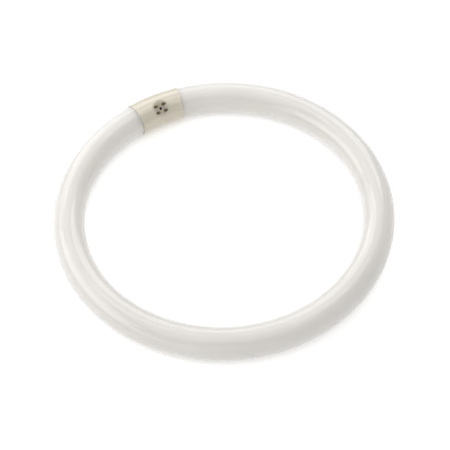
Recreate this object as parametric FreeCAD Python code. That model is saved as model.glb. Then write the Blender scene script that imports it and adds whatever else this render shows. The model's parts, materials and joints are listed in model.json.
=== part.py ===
import FreeCAD, Part
import math
import os

from FreeCAD import Vector

# A circular fluorescent tube: a sealed glass ring whose two ends meet inside a moulded base.
# Millimetres and degrees. The ring's axis is Z, the base is at +Y, and Z = 0 is the surface it lies on.

# Glass ring
ring_outer_diameter = 304.8
tube_diameter = 28.6
end_straight = 0.5
end_shoulder_radius = 5.0
stem_mouth_diameter = 13.0
stem_floor_diameter = 9.6
stem_depth = 7.0
exhaust_tube_diameter = 3.4
exhaust_tube_length = 3.4
exhaust_tip_length = 1.8

# Moulded base
base_length = 46.5
base_wall = 0.8
base_edge_round = 0.25
glass_clearance = 0.1
seam_gap = 0.1
lap_depth = 1.2
lap_clearance = 0.1
stop_rib_thickness = 1.2
stop_rib_depth = 3.0
stop_rib_clearance = 0.3

# Round pad that the pins stand on, with a hole in its middle
pad_diameter = 17.0
pad_rise = 0.5
pad_edge_round = 0.4
pad_hole_diameter = 2.6

# Pegs and sockets that hold the two halves together
peg_diameter = 2.5
peg_length = 5.5
peg_offset = 9.6
peg_boss_diameter = 5.0
peg_clearance = 0.05
socket_end_room = 0.5

# Contact pins
pin_diameter = 2.35
pin_length = 6.6
pin_shank_diameter = 2.9
pin_pitch_along = 7.92
pin_pitch_across = 6.35
pin_tilt = 50.0
pin_bore_diameter = 1.3
pin_tip_wall = 0.6
pin_head_diameter = 3.8
pin_head_thickness = 0.6
pin_head_to_wall = 0.3
pin_head_to_rib = 1.6
pin_fit_clearance = 0.03

# Lead wires
lead_diameter = 0.6
lead_spacing = 6.0
lead_bend_radius = 2.5

# Radii and heights that follow from these
tube_radius = tube_diameter / 2
ring_radius = (ring_outer_diameter - tube_diameter) / 2
base_inner_radius = tube_radius + glass_clearance
base_outer_radius = base_inner_radius + base_wall
base_mid_radius = base_inner_radius + base_wall / 2
ring_height = base_outer_radius
pad_radius = pad_diameter / 2
pad_top = base_outer_radius + pad_rise
pin_head_reach = (pin_pitch_across + pin_head_diameter) / 2
pin_seat = math.sqrt(base_inner_radius ** 2 - pin_head_reach ** 2) - pin_head_to_wall
pin_tip = pad_top + pin_length
pin_bore_end = pin_tip - pin_tip_wall
pin_signs = [(along, across) for along in (1, -1) for across in (1, -1)]

# Angles of the seam on each side of a half's middle, and of the lap that covers it
seam_angle = 90 - math.degrees(seam_gap / 2 / base_outer_radius)
lap_angle = math.degrees(lap_depth / base_mid_radius)

# The round on the base's end edges stays within one layer of the lap.
lap_layer = (base_wall - lap_clearance) / 2
end_edge_round = min(base_edge_round, lap_layer * 3 / 4)

# Along each glass end, its shoulder stops just short of a rib, and the rib clears the pin heads.
end_length = end_straight + end_shoulder_radius
rib_inner_radius = base_inner_radius - stop_rib_depth
shoulder_rise = max(rib_inner_radius - (tube_radius - end_shoulder_radius), 0)
shoulder_setback = end_shoulder_radius - math.sqrt(end_shoulder_radius ** 2 - shoulder_rise ** 2)
rib_start = end_length - shoulder_setback + stop_rib_clearance
rib_end = rib_start + stop_rib_thickness
rib_reach = (pin_pitch_along + pin_head_diameter) / 2 + pin_head_to_rib
glass_bend_end = rib_reach + rib_end

# The base's own frame has X along the tube, Y across the pins and Z along them, from the tube's axis.
base_placement = FreeCAD.Placement(
    Vector(0, ring_radius, ring_height),
    FreeCAD.Rotation(Vector(1, 0, 0), 90 - pin_tilt),
)


def section_point(radius, angle):
    """Point of the tube's section; the angle runs from the inward side over the top."""
    turn = math.radians(angle)
    return Vector(ring_radius - radius * math.cos(turn), 0, ring_height + radius * math.sin(turn))


def section_arc(radius, start, end):
    """Arc about the middle of the tube's section."""
    angles = (start, (start + end) / 2, end)
    return Part.Arc(*(section_point(radius, angle) for angle in angles)).toShape()


def section_step(angle, start, end):
    """Radial line in the tube's section."""
    return Part.LineSegment(section_point(start, angle), section_point(end, angle)).toShape()


def section_disc(radius):
    """Full round section of the tube."""
    circle = Part.makeCircle(radius, section_point(0, 0), Vector(0, 1, 0))
    return Part.Face(Part.Wire(circle))


def section_wall(inner, outer, middle, reach):
    """Part of the tube's section between two radii, as far as reach on each side of a middle angle."""
    start = middle - reach
    end = middle + reach
    edges = [
        section_arc(outer, start, end),
        section_step(end, outer, inner),
        section_arc(inner, end, start),
        section_step(start, inner, outer),
    ]
    return Part.Face(Part.Wire(edges))


def section_lapped_wall(middle, step_radius, lap):
    """Half of the base's wall; its inner layer runs past the seam by lap, or stops short where negative."""
    start = middle - seam_angle
    end = middle + seam_angle
    edges = [
        section_arc(base_outer_radius, start, end),
        section_step(end, base_outer_radius, step_radius),
        section_arc(step_radius, end, end + lap),
        section_step(end + lap, step_radius, base_inner_radius),
        section_arc(base_inner_radius, end + lap, start - lap),
        section_step(start - lap, base_inner_radius, step_radius),
        section_arc(step_radius, start - lap, start),
        section_step(start, step_radius, base_outer_radius),
    ]
    return Part.Face(Part.Wire(edges))


def swept(face, start, end):
    """Section carried round the ring between two distances from the middle of the base."""
    axis = Vector(0, 0, 1)
    placed = face.copy()
    placed.rotate(Vector(0, 0, 0), axis, 90 + math.degrees(start / ring_radius))
    return placed.revolve(Vector(0, 0, 0), axis, math.degrees((end - start) / ring_radius))


def outline_point(point):
    """Point of a turned piece's outline."""
    radius, height = point
    return Vector(radius, 0, height)


def turned(start, *steps):
    """Solid turned about Z; a step is a (radius, height) point, or the middle and end points of an arc."""
    edges = []
    place = outline_point(start)
    for step in steps + (start,):
        if isinstance(step[0], tuple):
            middle, end = (outline_point(point) for point in step)
            edges.append(Part.Arc(place, middle, end).toShape())
        else:
            end = outline_point(step)
            edges.append(Part.LineSegment(place, end).toShape())
        place = end
    return Part.Face(Part.Wire(edges)).revolve(Vector(0, 0, 0), Vector(0, 0, 1), 360)


def rounded_corner(radius, height, size):
    """Steps of an outline that takes an outer top corner with a quarter round."""
    inset = size * (1 - math.sqrt(0.5))
    return [(radius, height - size), ((radius - inset, height - inset), (radius - size, height))]


def rod_in_base(radius, along, across, bottom, top):
    """Round rod along the pins' direction, in the base's own frame."""
    return Part.makeCylinder(radius, top - bottom, Vector(along, across, bottom))


def placed_in(shape, placement):
    """Copy of a shape, moved from its own frame to its place."""
    placed = shape.copy()
    placed.Placement = placement.multiply(placed.Placement)
    return placed


def bent_rod(points, bend_radius, diameter):
    """Round rod along straight runs joined by tangent arcs."""
    edges = []
    start = points[0]
    for corner, after in zip(points[1:-1], points[2:]):
        back = (start - corner).normalize()
        ahead = (after - corner).normalize()
        half_turn = (math.pi - back.getAngle(ahead)) / 2
        reach = bend_radius * math.tan(half_turn)
        inside = (back + ahead).normalize()
        arc_start = corner + back * reach
        arc_middle = corner + inside * (bend_radius / math.cos(half_turn) - bend_radius)
        arc_end = corner + ahead * reach
        edges.append(Part.LineSegment(start, arc_start).toShape())
        edges.append(Part.Arc(arc_start, arc_middle, arc_end).toShape())
        start = arc_end
    edges.append(Part.LineSegment(start, points[-1]).toShape())
    outline = Part.Wire(Part.makeCircle(diameter / 2, points[0], points[1] - points[0]))
    return Part.Wire(edges).makePipeShell([outline], True, False)


def glass_end_placement(side):
    """Frame of a glass end: on the tube's axis where the bend stops, with Z out of the glass."""
    turn = math.pi / 2 - side * glass_bend_end / ring_radius
    centre = Vector(ring_radius * math.cos(turn), ring_radius * math.sin(turn), ring_height)
    outwards = Vector(-side * math.sin(turn), side * math.cos(turn), 0)
    return FreeCAD.Placement(centre, FreeCAD.Rotation(Vector(0, 0, 1), outwards))


def make_glass_tube():
    """Sealed glass ring: each end has a rounded shoulder, the stem's mouth and the sealed exhaust tube."""
    stem_floor = end_length - stem_depth
    exhaust_radius = exhaust_tube_diameter / 2
    end = turned(
        (0, 0),
        (tube_radius, 0),
        *rounded_corner(tube_radius, end_length, end_shoulder_radius),
        (0, end_length),
    )
    stem_mouth = turned(
        (0, stem_floor),
        (stem_floor_diameter / 2, stem_floor),
        (stem_mouth_diameter / 2, end_length),
        (0, end_length),
    )
    exhaust_tube = turned(
        (0, stem_floor),
        (exhaust_radius, stem_floor),
        (exhaust_radius, stem_floor + exhaust_tube_length),
        (0, stem_floor + exhaust_tube_length + exhaust_tip_length),
    )
    circumference = 2 * math.pi * ring_radius
    glass = swept(section_disc(tube_radius), glass_bend_end, circumference - glass_bend_end)
    for side in (1, -1):
        placement = glass_end_placement(side)
        glass = glass.fuse(placed_in(end, placement))
        glass = glass.cut(placed_in(stem_mouth, placement))
        glass = glass.fuse(placed_in(exhaust_tube, placement))
    return glass


def make_wall_half(face):
    """Half of the base's wall along its whole length, with its outer end edges rounded."""
    half = swept(face, -base_length / 2, base_length / 2)
    end_edges = [
        edge
        for edge in half.Edges
        if isinstance(edge.Curve, Part.Circle) and math.isclose(edge.Curve.Radius, base_outer_radius)
    ]
    return half.makeFillet(end_edge_round, end_edges)


def make_stop_ribs(middle, reach):
    """The two ribs of a half that keep the glass ends apart, square to those ends."""
    face = section_wall(rib_inner_radius, base_mid_radius, middle, reach)
    sleeve = swept(face, -base_length / 2, base_length / 2)
    slab = Part.makeCylinder(base_outer_radius, stop_rib_thickness, Vector(0, 0, rib_start))
    return [sleeve.common(placed_in(slab, glass_end_placement(side))) for side in (1, -1)]


def make_peg_bosses(bottom, top):
    """Bosses on both sides of the pins, from the seam to the inside of the wall."""
    bosses = []
    for side in (1, -1):
        boss = rod_in_base(peg_boss_diameter / 2, 0, side * peg_offset, bottom, top)
        inside = swept(section_disc(base_mid_radius), -peg_boss_diameter, peg_boss_diameter)
        bosses.append(placed_in(boss, base_placement).common(inside))
    return bosses


def make_pin_pad():
    """Round pad outside the wall, and the flat seat for the pin heads inside it."""
    pad = turned((0, 0), (pad_radius, 0), *rounded_corner(pad_radius, pad_top, pad_edge_round), (0, pad_top))
    seat = rod_in_base(pad_radius, 0, 0, pin_seat, pad_top)
    inside = section_disc(base_mid_radius)
    return [
        placed_in(pad, base_placement).cut(swept(inside, -base_length / 2, base_length / 2)),
        placed_in(seat, base_placement).common(swept(inside, -rib_reach, rib_reach)),
    ]


def make_base_pin_half():
    """Half of the base that carries the pins, with sockets for the other half's pegs."""
    face = section_lapped_wall(pin_tilt, base_mid_radius + lap_clearance / 2, -lap_angle)
    solids = make_stop_ribs(pin_tilt, seam_angle - lap_angle)
    solids += make_peg_bosses(seam_gap / 2, base_outer_radius)
    solids += make_pin_pad()
    holes = [rod_in_base(pad_hole_diameter / 2, 0, 0, 0, pin_tip)]
    for along, across in pin_signs:
        place = (along * pin_pitch_along / 2, across * pin_pitch_across / 2)
        holes.append(rod_in_base(pin_shank_diameter / 2 + pin_fit_clearance, *place, 0, pin_tip))
    for side in (1, -1):
        socket_end = peg_length + socket_end_room
        holes.append(rod_in_base(peg_diameter / 2 + peg_clearance, 0, side * peg_offset, 0, socket_end))
    half = make_wall_half(face).fuse(solids)
    return half.cut([placed_in(hole, base_placement) for hole in holes]).removeSplitter()


def make_base_back_half():
    """Half of the base behind the pins, with tongues under the other half's edges and two pegs."""
    middle = pin_tilt + 180
    face = section_lapped_wall(middle, base_mid_radius - lap_clearance / 2, lap_angle)
    solids = make_stop_ribs(middle, seam_angle)
    solids += make_peg_bosses(-base_outer_radius, -seam_gap / 2)
    for side in (1, -1):
        peg = rod_in_base(peg_diameter / 2, 0, side * peg_offset, -peg_length, peg_length)
        solids.append(placed_in(peg, base_placement))
    return make_wall_half(face).fuse(solids).removeSplitter()


def make_contact_pin(along, across):
    """Hollow brass pin: a head under the seat, a shank through the pad and a free end with a round tip."""
    pin_radius = pin_diameter / 2
    shank_radius = pin_shank_diameter / 2
    bore_radius = pin_bore_diameter / 2
    head_radius = pin_head_diameter / 2
    head_bottom = pin_seat - pin_head_thickness
    pin = turned(
        (bore_radius, head_bottom),
        (head_radius, head_bottom),
        (head_radius, pin_seat),
        (shank_radius, pin_seat),
        (shank_radius, pad_top),
        (pin_radius, pad_top),
        *rounded_corner(pin_radius, pin_tip, pin_radius),
        (0, pin_bore_end),
        (bore_radius, pin_bore_end),
    )
    pin.translate(Vector(along * pin_pitch_along / 2, across * pin_pitch_across / 2, 0))
    return placed_in(pin, base_placement)


def make_lead_wire(along, across):
    """Wire from a glass end's stem, straight out of its mouth and up into its pin."""
    end = glass_end_placement(along)
    outwards = end.Rotation.multVec(Vector(0, 0, 1))
    across_pins = base_placement.Rotation.multVec(Vector(0, 1, 0))
    sideways = (across_pins - outwards * across_pins.dot(outwards)).normalize()
    start = end.multVec(Vector(0, 0, end_length - stem_depth)) + sideways * (across * lead_spacing / 2)
    under_pin = Vector(along * pin_pitch_along / 2, across * pin_pitch_across / 2, 0)
    points = [
        start,
        start + outwards * stem_depth,
        base_placement.multVec(under_pin),
        base_placement.multVec(under_pin + Vector(0, 0, pin_bore_end)),
    ]
    return bent_rod(points, lead_bend_radius, lead_diameter)


pieces = {
    "glass_tube": make_glass_tube(),
    "base_pin_half": make_base_pin_half(),
    "base_back_half": make_base_back_half(),
}
for number, signs in enumerate(pin_signs, start=1):
    pieces[f"contact_pin_{number}"] = make_contact_pin(*signs)
    pieces[f"lead_wire_{number}"] = make_lead_wire(*signs)

os.makedirs("parts", exist_ok=True)
for name, shape in pieces.items():
    shape.exportStep(f"parts/{name}.step")
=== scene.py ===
import json
import math

import bmesh
import bpy
from mathutils import Matrix, Vector


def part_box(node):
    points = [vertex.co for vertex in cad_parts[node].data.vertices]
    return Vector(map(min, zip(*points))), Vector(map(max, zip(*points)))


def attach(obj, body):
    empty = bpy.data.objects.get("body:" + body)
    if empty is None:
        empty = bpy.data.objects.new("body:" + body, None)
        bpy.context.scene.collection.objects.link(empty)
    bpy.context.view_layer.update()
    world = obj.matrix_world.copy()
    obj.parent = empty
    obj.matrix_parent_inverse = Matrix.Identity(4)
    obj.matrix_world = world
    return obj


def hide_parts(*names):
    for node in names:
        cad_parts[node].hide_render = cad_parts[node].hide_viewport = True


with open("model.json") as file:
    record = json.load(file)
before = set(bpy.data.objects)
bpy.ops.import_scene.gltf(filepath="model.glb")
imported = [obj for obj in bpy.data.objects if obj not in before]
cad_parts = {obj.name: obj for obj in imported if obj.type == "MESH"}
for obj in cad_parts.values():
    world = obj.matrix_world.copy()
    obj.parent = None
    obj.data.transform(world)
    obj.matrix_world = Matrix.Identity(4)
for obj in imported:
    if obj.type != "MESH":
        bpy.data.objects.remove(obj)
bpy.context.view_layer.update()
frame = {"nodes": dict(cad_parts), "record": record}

# A circular fluorescent tube lying on a pale floor. Metres and degrees.

# Glass ring, from the frame
glass_low, glass_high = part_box("glass_tube")
tube_radius = (glass_high.z - glass_low.z) / 2
ring_radius = glass_high.x - tube_radius
ring_centre = Vector((0, 0, (glass_high.z + glass_low.z) / 2))

# Glass ends, which are inside the base
bend_stop = 0.0140
end_straight = 0.0005
shoulder_radius = 0.005
stem_mouth_radius = 0.0065
stem_floor_radius = 0.0048
stem_depth = 0.007
exhaust_radius = 0.0017
exhaust_length = 0.0034
exhaust_tip_radius = exhaust_radius / 8
exhaust_tip_length = 0.0018

# Pins, from the faces that the frame gives them
mm_per_metre = 1000
pin_mounts = {mount["name"]: mount for mount in frame["record"]["mounts"] if mount["kind"] == "pin"}
pin_shank_radius = 0.00145
pin_head_radius = 0.0019
pin_head_top = -0.00252
pin_head_thickness = 0.0006
pin_bore_radius = 0.00065
pin_tip_wall = 0.0006
solder_radius = 0.00045
solder_gap = 0.00004
solder_sink = 0.00012

# Painted shade on the pad: a brown darkening round and between the pins
pad_centre = sum((Vector(mount["pos_m"]) for mount in pin_mounts.values()), Vector()) / len(pin_mounts)
pin_shade_radius = 0.0080
pin_shade_start = 0.05
pin_shade_full = 0.26
pin_shade_strength = 0.70
pin_shade_colour = (0.270, 0.205, 0.100, 1)

# Colours between which each material varies
coat_dark = (0.770, 0.744, 0.706, 1)
coat_light = (0.795, 0.770, 0.732, 1)
plastic_dark = (0.590, 0.525, 0.380, 1)
plastic_light = (0.630, 0.565, 0.420, 1)
brass_dull = (0.055, 0.040, 0.018, 1)
brass_clean = (0.17, 0.128, 0.060, 1)
solder_dull = (0.16, 0.13, 0.09, 1)
solder_clean = (0.34, 0.30, 0.23, 1)
wire_dull = (0.30, 0.28, 0.26, 1)
wire_clean = (0.55, 0.53, 0.50, 1)

# Fineness of the meshes
ring_segments = 360
section_segments = 72
round_segments = 8
pin_segments = 48
sharp_angle = 40

# Camera: its place round the ring's centre, and how far from there the picture's middle lies
camera_azimuth = -25.4
camera_elevation = 52.5
camera_distance = 1.105
camera_roll = 2.37
camera_lens = 98.9
aim_right = 0.0010
aim_nearer = 0.0155

# Floor and sky: the light that they give, and the white that is seen of them
floor_size = 8.0
floor_colour = (0.86, 0.86, 0.86, 1)
floor_bounce = 0.19
floor_white = 0.52
# Painted shadow: close to the object the seen glow falls from floor_white to floor_shaded, within
# shadow_reach
floor_shaded = 0.24
shadow_reach = 0.008
shadow_end = 0.65
sky_colour = (1.0, 1.0, 1.0, 1)
sky_strength = 0.4
sky_white = 1.0


def direction(azimuth, elevation):
    """Unit vector to a place round the ring; azimuth 0 is at -Y and 90 at +X."""
    turn = math.radians(azimuth)
    rise = math.radians(elevation)
    return Vector((math.sin(turn) * math.cos(rise), -math.cos(turn) * math.cos(rise), math.sin(rise)))


def new_object(name, data):
    """Object in the scene with that mesh, lamp or camera."""
    made = bpy.data.objects.new(name, data)
    bpy.context.scene.collection.objects.link(made)
    return made


def bridged_rings(name, rings):
    """Smooth mesh through rings of points; its last two faces close the first ring and the last."""
    work = bmesh.new()
    loops = [[work.verts.new(point) for point in ring] for ring in rings]
    for near, far in zip(loops, loops[1:]):
        count = len(near)
        for index in range(count):
            after = (index + 1) % count
            work.faces.new((near[index], near[after], far[after], far[index]))
    work.faces.new(loops[0][::-1])
    work.faces.new(loops[-1])
    bmesh.ops.recalc_face_normals(work, faces=work.faces)
    mesh = bpy.data.meshes.new(name)
    work.to_mesh(mesh)
    work.free()
    mesh.shade_smooth()
    mesh.set_sharp_from_angle(angle=math.radians(sharp_angle))
    return mesh


def frame_at(origin, along, sideways):
    """Placement with Z along a direction and X as near to sideways as it can be."""
    axis_z = along.normalized()
    axis_x = (sideways - axis_z * sideways.dot(axis_z)).normalized()
    axis_y = axis_z.cross(axis_x)
    turn = Matrix((axis_x, axis_y, axis_z)).transposed().to_4x4()
    return Matrix.Translation(origin) @ turn


def circle_points(placement, radius, height, count):
    """Points of a circle about a placement's Z axis."""
    points = []
    for index in range(count):
        turn = 2 * math.pi * index / count
        points.append(placement @ Vector((radius * math.cos(turn), radius * math.sin(turn), height)))
    return points


def rounded_corner(radius, height, size):
    """(radius, height) steps of a quarter round that ends an outer wall."""
    steps = []
    for index in range(round_segments + 1):
        turn = math.pi / 2 * index / round_segments
        steps.append((radius - size + size * math.cos(turn), height - size + size * math.sin(turn)))
    return steps


def glass_end_profile():
    """(radius, height) steps of a glass end, from where the bend stops to the tip of the exhaust tube."""
    face = end_straight + shoulder_radius
    stem_floor = face - stem_depth
    return rounded_corner(tube_radius, face, shoulder_radius) + [
        (stem_mouth_radius, face),
        (stem_floor_radius, stem_floor),
        (exhaust_radius, stem_floor),
        (exhaust_radius, stem_floor + exhaust_length),
        (exhaust_tip_radius, stem_floor + exhaust_length + exhaust_tip_length),
    ]


def section_placement(turn):
    """Placement on the tube's axis, with Z along the tube and X out of the ring."""
    outwards = Vector((math.sin(turn), math.cos(turn), 0))
    along = Vector((math.cos(turn), -math.sin(turn), 0))
    return frame_at(ring_centre + outwards * ring_radius, along, outwards)


def make_glass_ring():
    """The sealed glass: a bent tube whose rounded ends hold the stems."""
    first = bend_stop / ring_radius
    last = 2 * math.pi - first
    rings = []
    for index in range(ring_segments + 1):
        turn = first + (last - first) * index / ring_segments
        rings.append(circle_points(section_placement(turn), tube_radius, 0, section_segments))
    start = []
    for radius, height in reversed(glass_end_profile()):
        start.append(circle_points(section_placement(first), radius, -height, section_segments))
    finish = []
    for radius, height in glass_end_profile():
        finish.append(circle_points(section_placement(last), radius, height, section_segments))
    return new_object("glass_ring", bridged_rings("glass_ring", start + rings + finish))


def make_pin(number, mount, brass, solder):
    """A hollow pin with a head under the pad, a round tip and a bead of solder in it."""
    radius = mount["dims"]["r_mm"] / mm_per_metre
    tip = mount["dims"]["length_mm"] / mm_per_metre + radius
    along = Vector(mount["axis"])
    placement = frame_at(Vector(mount["pos_m"]), along, Vector((1, 0, 0)))
    head_bottom = pin_head_top - pin_head_thickness
    steps = [
        (pin_bore_radius, tip - pin_tip_wall),
        (pin_bore_radius, head_bottom),
        (pin_head_radius, head_bottom),
        (pin_head_radius, pin_head_top),
        (pin_shank_radius, pin_head_top),
        (pin_shank_radius, 0),
        (radius, 0),
    ]
    steps += [step for step in rounded_corner(radius, tip, radius) if step[0] > solder_radius]
    bead_bottom = steps[-1][1] - solder_sink
    bead_radius = solder_radius - solder_gap
    steps.append((solder_radius, bead_bottom))
    first_bead_face = len(steps) * pin_segments
    for index in range(round_segments):
        turn = math.pi / 2 * index / round_segments
        steps.append((bead_radius * math.cos(turn), bead_bottom + (tip - bead_bottom) * math.sin(turn)))
    rings = [circle_points(placement, *step, pin_segments) for step in steps]
    mesh = bridged_rings(f"pin_{number}", rings)
    mesh.materials.append(brass)
    mesh.materials.append(solder)
    bore_end_face = len(mesh.polygons) - 2
    for face in mesh.polygons:
        face.material_index = int(face.index >= first_bead_face and face.index != bore_end_face)
    return new_object(f"pin_{number}", mesh)


def material_nodes(name):
    """New material, its nodes, its links and its main shader."""
    material = bpy.data.materials.new(name)
    material.use_nodes = True
    nodes = material.node_tree.nodes
    return material, nodes, material.node_tree.links, nodes["Principled BSDF"]


def set_inputs(node, values):
    """Set a node's sockets, by name, to fixed values."""
    for socket, value in values.items():
        node.inputs[socket].default_value = value


def noise(nodes, links, place, scale, detail):
    """Socket with a noise that stays fixed to the object."""
    texture = nodes.new("ShaderNodeTexNoise")
    set_inputs(texture, {"Scale": scale, "Detail": detail})
    links.new(place.outputs["Object"], texture.inputs["Vector"])
    return texture.outputs["Fac"]


def two_colours(nodes, links, factor, dark, light, low, high):
    """Socket with a dark colour below a low factor, a light one above a high one, and a blend between."""
    ramp = nodes.new("ShaderNodeValToRGB")
    ramp.color_ramp.elements[0].position = low
    ramp.color_ramp.elements[0].color = dark
    ramp.color_ramp.elements[1].position = high
    ramp.color_ramp.elements[1].color = light
    links.new(factor, ramp.inputs["Fac"])
    return ramp.outputs["Color"]


def bumpy_normal(nodes, links, height, strength, distance):
    """Socket with a normal that follows a height."""
    bump = nodes.new("ShaderNodeBump")
    set_inputs(bump, {"Strength": strength, "Distance": distance})
    links.new(height, bump.inputs["Height"])
    return bump.outputs["Normal"]


def make_glass_material():
    """White powder coat, which lets light through, seen under clear glass that is a little wavy."""
    material, nodes, links, shader = material_nodes("coated_glass")
    place = nodes.new("ShaderNodeTexCoord")
    mottle = noise(nodes, links, place, scale=24, detail=5)
    waves = noise(nodes, links, place, scale=40, detail=1)
    coat = two_colours(nodes, links, mottle, coat_dark, coat_light, low=0.35, high=0.65)
    wavy = bumpy_normal(nodes, links, waves, strength=0.10, distance=0.001)
    links.new(coat, shader.inputs["Base Color"])
    links.new(wavy, shader.inputs["Coat Normal"])
    set_inputs(shader, {
        "Roughness": 0.5,
        "Specular IOR Level": 0.2,
        "Subsurface Weight": 0.75,
        "Subsurface Radius": (1.0, 1.0, 1.0),
        "Subsurface Scale": 0.02,
        "Coat Weight": 1.0,
        "Coat Roughness": 0.05,
        "Coat IOR": 1.8,
    })
    return material


def pin_shade_amount(nodes, links, place):
    """Socket with how much painted shade darkens the plastic: in blotches, and most in the middle of the
    pad, between the pins.
    """
    from_pad = nodes.new("ShaderNodeMapping")
    from_pad.vector_type = "TEXTURE"
    set_inputs(from_pad, {"Location": pad_centre, "Scale": (pin_shade_radius, pin_shade_radius, pin_shade_radius)})
    nearness = nodes.new("ShaderNodeTexGradient")
    nearness.gradient_type = "SPHERICAL"
    blotches = noise(nodes, links, place, scale=900, detail=4)
    patchy = nodes.new("ShaderNodeMath")
    patchy.operation = "MULTIPLY"
    spread = nodes.new("ShaderNodeMapRange")
    set_inputs(spread, {"From Min": pin_shade_start, "From Max": pin_shade_full, "To Max": pin_shade_strength})
    links.new(place.outputs["Object"], from_pad.inputs["Vector"])
    links.new(from_pad.outputs["Vector"], nearness.inputs["Vector"])
    links.new(nearness.outputs["Fac"], patchy.inputs[0])
    links.new(blotches, patchy.inputs[1])
    links.new(patchy.outputs["Value"], spread.inputs["Value"])
    return spread.outputs["Result"]


def make_plastic_material():
    """Satin moulded plastic, a little yellower than the glass, with painted shade darkening it between the
    pins.
    """
    material, nodes, links, shader = material_nodes("base_plastic")
    place = nodes.new("ShaderNodeTexCoord")
    mottle = noise(nodes, links, place, scale=90, detail=6)
    grain = noise(nodes, links, place, scale=2500, detail=3)
    plastic = two_colours(nodes, links, mottle, plastic_dark, plastic_light, low=0.35, high=0.65)
    # Painted shade: the plastic is blended towards a dark brown between the pins.
    shaded_plastic = nodes.new("ShaderNodeMixRGB")
    shaded_plastic.inputs["Color2"].default_value = pin_shade_colour
    grainy = bumpy_normal(nodes, links, grain, strength=0.15, distance=0.0001)
    links.new(pin_shade_amount(nodes, links, place), shaded_plastic.inputs["Fac"])
    links.new(plastic, shaded_plastic.inputs["Color1"])
    links.new(shaded_plastic.outputs["Color"], shader.inputs["Base Color"])
    links.new(grainy, shader.inputs["Normal"])
    set_inputs(shader, {
        "Roughness": 0.30,
        "Coat Weight": 1.0,
        "Coat Roughness": 0.15,
        "Coat IOR": 2.2,
    })
    return material


def make_metal_material(name, dull, clean, roughness):
    """Drawn metal with dull patches and a fine grain."""
    material, nodes, links, shader = material_nodes(name)
    place = nodes.new("ShaderNodeTexCoord")
    patches = noise(nodes, links, place, scale=700, detail=6)
    grain = noise(nodes, links, place, scale=6000, detail=2)
    metal = two_colours(nodes, links, patches, dull, clean, low=0.4, high=0.62)
    grainy = bumpy_normal(nodes, links, grain, strength=0.2, distance=0.00003)
    links.new(metal, shader.inputs["Base Color"])
    links.new(grainy, shader.inputs["Normal"])
    set_inputs(shader, {"Metallic": 1.0, "Roughness": roughness})
    return material


def seen_strength(nodes, links, unseen):
    """Node that gives rays from the camera, a gloss or a glass its "To Max", and the rest one strength."""
    path = nodes.new("ShaderNodeLightPath")
    mirrored = nodes.new("ShaderNodeMath")
    mirrored.operation = "MAXIMUM"
    looked_at = nodes.new("ShaderNodeMath")
    looked_at.operation = "MAXIMUM"
    strength = nodes.new("ShaderNodeMapRange")
    strength.inputs["To Min"].default_value = unseen
    links.new(path.outputs["Is Glossy Ray"], mirrored.inputs[0])
    links.new(path.outputs["Is Transmission Ray"], mirrored.inputs[1])
    links.new(path.outputs["Is Camera Ray"], looked_at.inputs[0])
    links.new(mirrored.outputs[0], looked_at.inputs[1])
    links.new(looked_at.outputs[0], strength.inputs["Value"])
    return strength


def make_floor_material():
    """Pale paint with a white glow, which is dimmer close to the object: a painted contact shadow."""
    material, nodes, links, shader = material_nodes("floor")
    nodes.remove(shader)
    paint = nodes.new("ShaderNodeBsdfDiffuse")
    paint.inputs["Color"].default_value = floor_colour
    glow = nodes.new("ShaderNodeEmission")
    both = nodes.new("ShaderNodeAddShader")
    # Painted shadow: the glow dims where the object is close, as a contact shadow.
    openness = nodes.new("ShaderNodeAmbientOcclusion")
    openness.inputs["Distance"].default_value = shadow_reach
    shade = nodes.new("ShaderNodeMapRange")
    set_inputs(shade, {"From Max": shadow_end, "To Min": floor_shaded, "To Max": floor_white})
    strength = seen_strength(nodes, links, floor_bounce)
    links.new(openness.outputs["AO"], shade.inputs["Value"])
    links.new(shade.outputs["Result"], strength.inputs["To Max"])
    links.new(strength.outputs["Result"], glow.inputs["Strength"])
    links.new(paint.outputs[0], both.inputs[0])
    links.new(glow.outputs[0], both.inputs[1])
    links.new(both.outputs[0], nodes["Material Output"].inputs["Surface"])
    return material


def make_floor():
    """Pale floor that touches the base and the glass across from it."""
    half = floor_size / 2
    mesh = bpy.data.meshes.new("floor")
    corners = [(-half, -half, 0), (half, -half, 0), (half, half, 0), (-half, half, 0)]
    mesh.from_pydata(corners, [], [(0, 1, 2, 3)])
    mesh.materials.append(make_floor_material())
    floor = new_object("floor", mesh)
    base_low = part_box("base_back_half")[0].z
    slope = (glass_low.z - base_low) / (2 * ring_radius)
    floor.location.z = (glass_low.z + base_low) / 2
    floor.rotation_euler.x = -math.atan(slope)
    return floor


def make_sky():
    """Even soft light all round, white where it is seen."""
    world = bpy.data.worlds.new("sky")
    world.use_nodes = True
    nodes = world.node_tree.nodes
    links = world.node_tree.links
    backdrop = nodes["Background"]
    backdrop.inputs["Color"].default_value = sky_colour
    strength = seen_strength(nodes, links, sky_strength)
    strength.inputs["To Max"].default_value = sky_white
    links.new(strength.outputs["Result"], backdrop.inputs["Strength"])
    bpy.context.scene.world = world


def make_lamp(name, azimuth, elevation, distance, width, height, power):
    """Soft box that faces the ring; azimuth is from the camera's own side."""
    lamp = bpy.data.lights.new(name, "AREA")
    lamp.shape = "RECTANGLE"
    lamp.size = width
    lamp.size_y = height
    lamp.energy = power
    made = new_object(name, lamp)
    towards = direction(camera_azimuth + azimuth, elevation)
    made.location = ring_centre + towards * distance
    made.rotation_euler = towards.to_track_quat("Z", "Y").to_euler()


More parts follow.
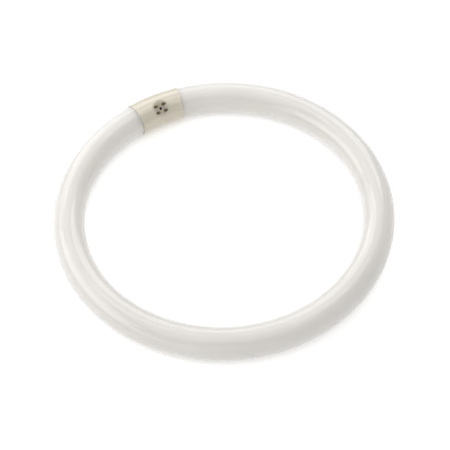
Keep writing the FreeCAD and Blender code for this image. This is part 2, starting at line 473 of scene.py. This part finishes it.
def make_camera():
    """Camera that looks down on the ring from the front."""
    camera = bpy.data.cameras.new("camera")
    camera.lens = camera_lens
    camera.clip_end = 2 * floor_size
    made = new_object("camera", camera)
    location = ring_centre + direction(camera_azimuth, camera_elevation) * camera_distance
    nearer = direction(camera_azimuth, 0)
    rightwards = direction(camera_azimuth + 90, 0)
    aim = ring_centre + nearer * aim_nearer + rightwards * aim_right
    back = (location - aim).normalized()
    level = frame_at(location, back, rightwards)
    made.matrix_world = level @ Matrix.Rotation(math.radians(-camera_roll), 4, "Z")
    bpy.context.scene.camera = made


glass_material = make_glass_material()
plastic_material = make_plastic_material()
brass_material = make_metal_material("pin_brass", brass_dull, brass_clean, roughness=0.30)
solder_material = make_metal_material("pin_solder", solder_dull, solder_clean, roughness=0.35)
wire_material = make_metal_material("wire_metal", wire_dull, wire_clean, roughness=0.30)

glass_ring = make_glass_ring()
glass_ring.data.materials.append(glass_material)
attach(glass_ring, "root")
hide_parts("glass_tube")

for number, (node, mount) in enumerate(sorted(pin_mounts.items()), start=1):
    pin = make_pin(number, mount, brass_material, solder_material)
    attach(pin, "root")
    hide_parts(node)

carried_over = {"base_": plastic_material, "lead_": wire_material}
for prefix, material in carried_over.items():
    for name, node in frame["nodes"].items():
        if name.startswith(prefix):
            node.material_slots[0].material = material

floor = make_floor()
make_sky()
make_lamp("left_strip", azimuth=-97, elevation=31, distance=1.3, width=4.6, height=0.50, power=5.0)
make_lamp("left_box", azimuth=-90, elevation=35, distance=1.4, width=1.4, height=1.0, power=3.4)
make_lamp("back_box", azimuth=180, elevation=35, distance=1.6, width=2.0, height=0.8, power=6.0)
make_lamp("back_high", azimuth=180, elevation=62, distance=1.6, width=2.0, height=1.0, power=3.0)
make_lamp("overhead", azimuth=0, elevation=89, distance=1.6, width=1.6, height=1.6, power=4.0)
make_lamp("front_low", azimuth=0, elevation=20, distance=1.5, width=1.6, height=0.7, power=1.2)
make_camera()
bpy.context.scene.view_settings.view_transform = "Standard"
